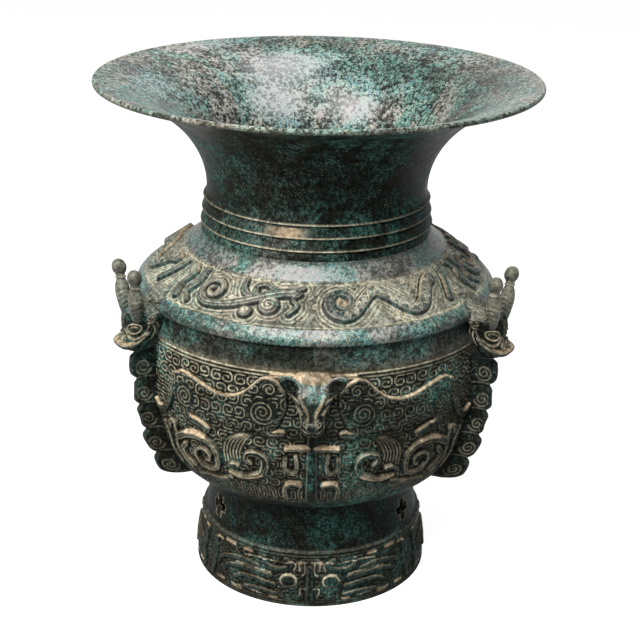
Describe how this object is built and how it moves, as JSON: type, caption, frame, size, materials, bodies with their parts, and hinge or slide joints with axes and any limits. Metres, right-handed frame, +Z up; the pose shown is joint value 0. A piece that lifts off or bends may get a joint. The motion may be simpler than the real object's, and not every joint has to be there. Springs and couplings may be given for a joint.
{
  "type": "bronze zun",
  "caption": "Large bronze wine vessel with a trumpet mouth, sloping shoulder, round belly and tall foot ring, with horned heads, beast heads and lobed flanges in high relief.",
  "frame": {"origin": "on the vessel's axis, in the plane of the foot ring's flat bottom", "axes": "+Z up along the axis; -Y is the front, where a beast head faces; +X to the right of it"},
  "size_m": [0.4224, 0.4224, 0.505],
  "materials": {
    "patinated_bronze": "dark green-black patina with malachite and earth in the recesses",
    "worn_bronze": "patina worn to a paler grey-green on the parts that stand out"
  },
  "bodies": {
    "root": {"foot_ring": "patinated_bronze", "belly": "patinated_bronze", "shoulder": "patinated_bronze", "mouth_and_neck": "patinated_bronze", "horned_head_right": "worn_bronze", "horn_right_a": "worn_bronze", "horn_right_b": "worn_bronze", "flange_right": "patinated_bronze", "horned_head_back": "worn_bronze", "horn_back_a": "worn_bronze", "horn_back_b": "worn_bronze", "flange_back": "patinated_bronze", "horned_head_left": "worn_bronze", "horn_left_a": "worn_bronze", "horn_left_b": "worn_bronze", "flange_left": "patinated_bronze", "beast_head_front": "patinated_bronze", "beast_head_back_right": "patinated_bronze", "beast_head_back_left": "patinated_bronze"}
  },
  "joints": []
}
